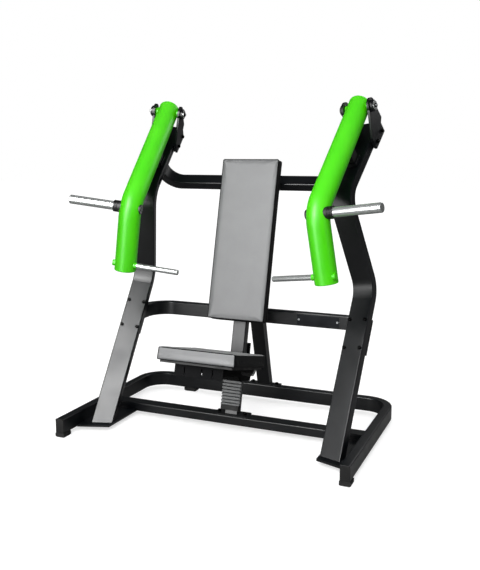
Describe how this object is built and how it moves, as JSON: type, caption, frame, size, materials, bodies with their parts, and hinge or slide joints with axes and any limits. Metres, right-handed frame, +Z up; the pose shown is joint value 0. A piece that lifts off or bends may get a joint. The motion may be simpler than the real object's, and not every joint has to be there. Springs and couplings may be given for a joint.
{
  "type": "seated chest press machine",
  "caption": "Plate loaded seated chest press with two independent swinging press arms, weight horns, backrest, sliding seat and U-shaped tube base.",
  "frame": {"origin": "on the floor, under the middle of the base rectangle", "axes": "+X to the right of someone facing the machine, -Y towards its open front, +Z up"},
  "size_m": [1.7454, 1.057, 1.8265],
  "materials": {
    "frame_black": "satin black powder coat on steel tube and plate",
    "arm_green": "glossy vivid green powder coat",
    "plastic_black": "matt black moulded plastic",
    "rubber": "matt black rubber",
    "bolt_black": "black oxide fasteners",
    "plate_dark": "blank dark plate",
    "rivet_steel": "plain steel",
    "chrome": "polished chrome plate",
    "vinyl_grey": "grey upholstery vinyl on the front, black vinyl on the sides",
    "board": "plywood backing board covered in black vinyl",
    "rack_grey": "light grey satin paint"
  },
  "bodies": {
    "frame": {"base_tube": "frame_black", "base_end_caps": "plastic_black", "front_feet": "rubber", "rear_feet": "rubber", "front_crossbar": "frame_black", "foot_plate_right": "frame_black", "foot_plate_left": "frame_black", "upright_right": "frame_black", "upright_left": "frame_black", "upright_caps": "plastic_black", "mid_bar": "frame_black", "mid_bar_flanges": "frame_black", "mid_bar_bolts": "bolt_black", "upper_bar": "frame_black", "name_plate": "plate_dark", "name_plate_rivets": "rivet_steel", "spine_post": "frame_black", "rear_post": "frame_black", "post_foot_plates": "frame_black", "post_foot_bolts": "bolt_black", "backrest_brackets": "frame_black", "backrest_bolts": "bolt_black", "backrest_board": "board", "backrest_pad": "vinyl_grey", "height_rack": "rack_grey", "rack_stop": "rubber", "cheek_plates_right": "frame_black", "cheek_plates_left": "frame_black", "cheek_doublers": "frame_black", "cheek_bolts": "bolt_black", "bearing_housings": "frame_black", "rest_brackets": "frame_black", "rest_bumpers": "rubber"},
    "right_arm": {"arm_tube_right": "arm_green", "arm_caps_right": "arm_green", "pivot_shaft_right": "chrome", "pivot_bolts_right": "bolt_black", "horn_right": "chrome", "horn_collars_right": "plastic_black", "handle_right": "chrome"},
    "left_arm": {"arm_tube_left": "arm_green", "arm_caps_left": "arm_green", "pivot_shaft_left": "chrome", "pivot_bolts_left": "bolt_black", "horn_left": "chrome", "horn_collars_left": "plastic_black", "handle_left": "chrome"},
    "seat": {"carriage_side_plates": "frame_black", "carriage_yoke": "frame_black", "carriage_front_plate": "frame_black", "carriage_glides": "plastic_black", "seat_arms": "frame_black", "seat_frame": "frame_black", "seat_board": "board", "seat_pad": "vinyl_grey", "latch_spring": "rivet_steel"},
    "seat_latch": {"latch_pawl": "rivet_steel", "latch_shaft": "chrome", "latch_grip": "rubber"}
  },
  "joints": [
    {"name": "right_arm_pivot", "type": "hinge", "parent": "frame", "child": "right_arm", "pos_m": [0.5836, 0.36933, 1.75981], "axis": [-0.966, 0.223, -0.1305], "range_deg": [0, 55]},
    {"name": "left_arm_pivot", "type": "hinge", "parent": "frame", "child": "left_arm", "pos_m": [-0.5836, 0.36933, 1.75981], "axis": [-0.966, -0.223, 0.1305], "range_deg": [0, 55]},
    {"name": "seat_height", "type": "slide", "parent": "frame", "child": "seat", "axis": [0, 0.2504, 0.9681], "range_m": [-0.108, 0.09]},
    {"name": "seat_latch_hinge", "type": "hinge", "parent": "seat", "child": "seat_latch", "pos_m": [0, -0.00311, 0.36994], "axis": [-1, 0, 0], "range_deg": [-9, 0]}
  ]
}
